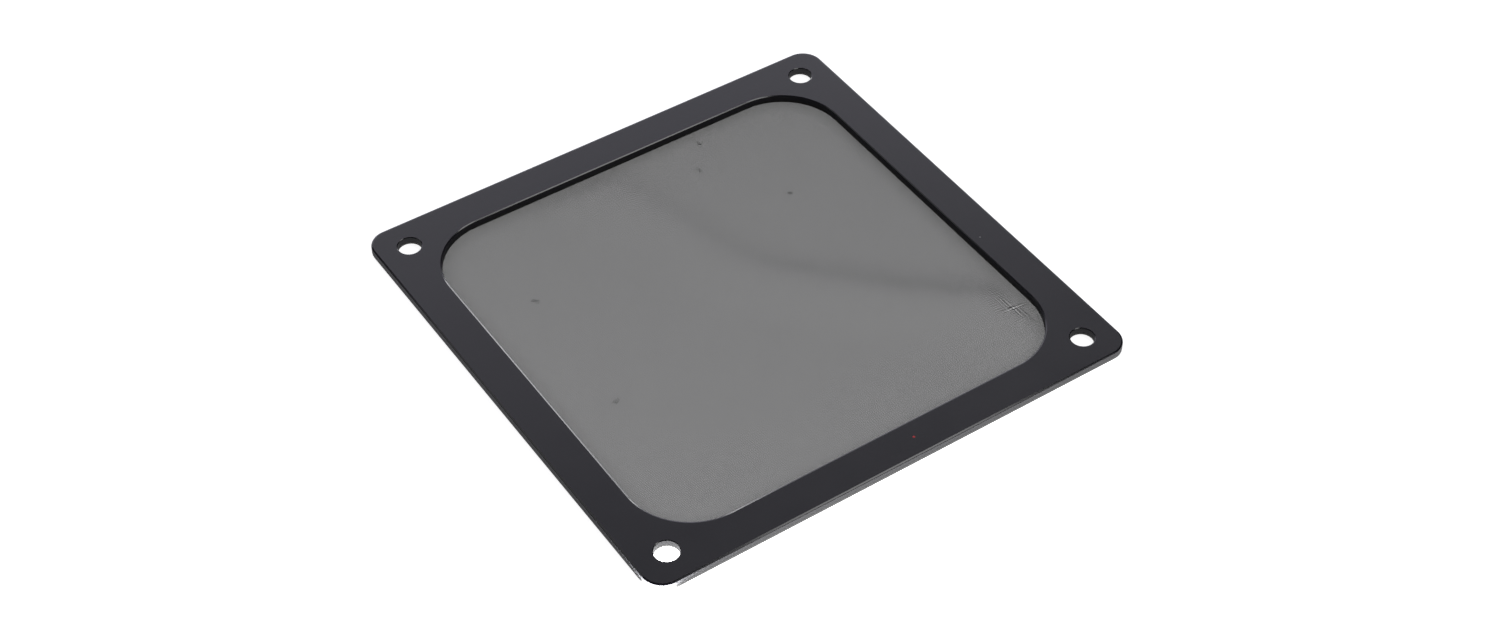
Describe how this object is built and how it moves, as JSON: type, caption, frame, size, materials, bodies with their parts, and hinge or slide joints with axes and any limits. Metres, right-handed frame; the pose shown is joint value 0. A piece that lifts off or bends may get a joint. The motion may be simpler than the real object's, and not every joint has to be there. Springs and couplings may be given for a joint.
{
  "type": "fan dust filter",
  "caption": "Square magnetic dust filter for a fan: fine dark mesh under a thin black frame with rounded corners and a screw hole in each corner.",
  "frame": {"origin": "centre of the underside, on the surface the filter lies on", "axes": "+Z through the thickness, out of the front frame; +X and +Y along the sides of the square"},
  "size_m": [0.12, 0.12, 0.002],
  "materials": {
    "front_plastic": "black flexible plastic sheet, semi-matt, with a faint cool tint",
    "magnet_rubber": "flexible magnet sheet, matt black",
    "mesh_cloth": "very fine dark woven mesh that light passes through"
  },
  "bodies": {
    "root": {"front_frame": "front_plastic", "magnet_frame": "magnet_rubber", "filter_mesh": "mesh_cloth"}
  },
  "joints": []
}
